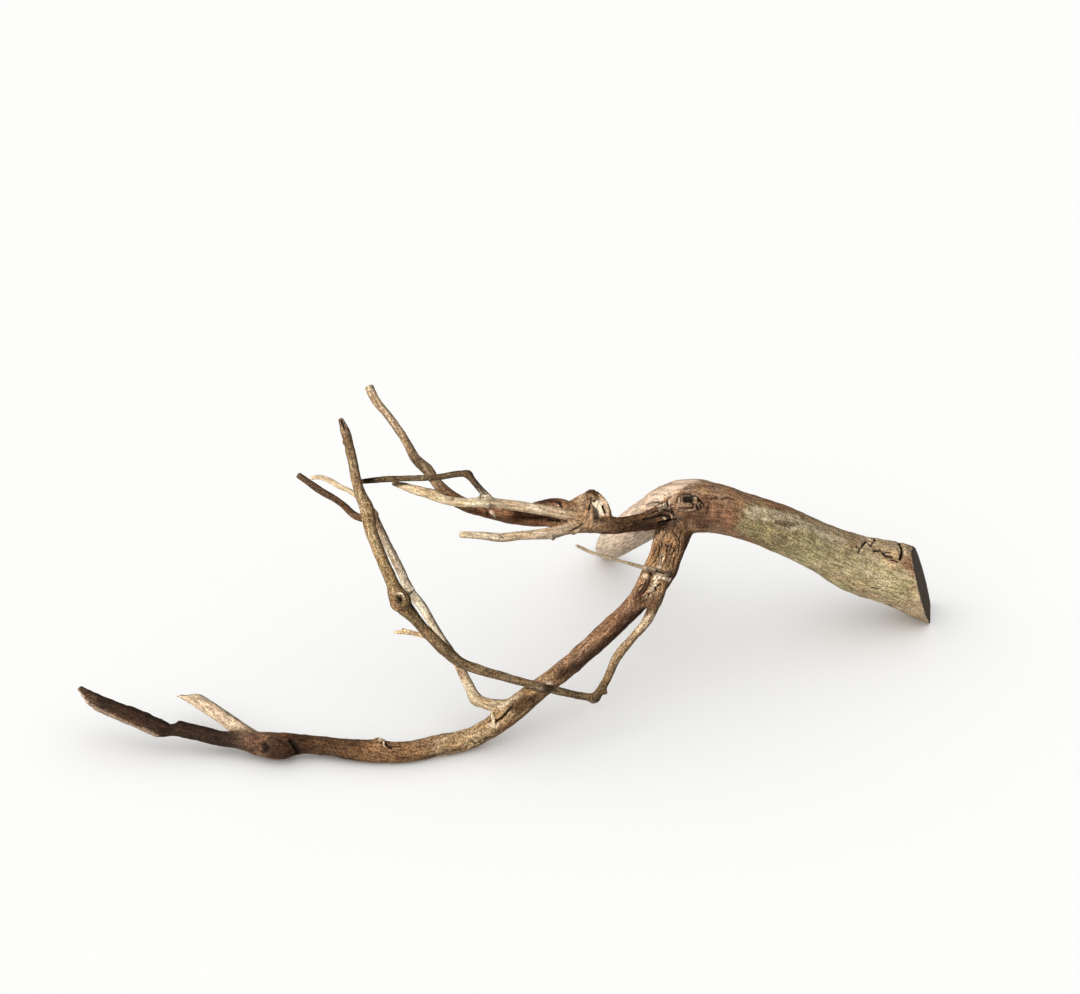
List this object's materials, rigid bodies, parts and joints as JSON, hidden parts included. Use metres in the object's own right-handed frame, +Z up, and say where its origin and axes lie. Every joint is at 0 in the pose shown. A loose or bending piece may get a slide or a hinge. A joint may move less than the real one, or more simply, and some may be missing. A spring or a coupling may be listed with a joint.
{
  "type": "driftwood branch",
  "caption": "Dry forked branch of dark aquarium wood with a sawn trunk, a knotted elbow and long thin twigs, lying on the ground.",
  "frame": {"origin": "centre of the footprint's bounding box, on the ground", "axes": "+X along the branch towards the sawn trunk, +Y away from the viewer of the picture, +Z up"},
  "size_m": [0.4033, 0.1856, 0.1427],
  "materials": {
    "wood": "dry matt bark, dark brown, with a faint green lichen bloom and paler bare wood at breaks and scars"
  },
  "bodies": {
    "root": {"talawa_wood": "wood"}
  },
  "joints": []
}
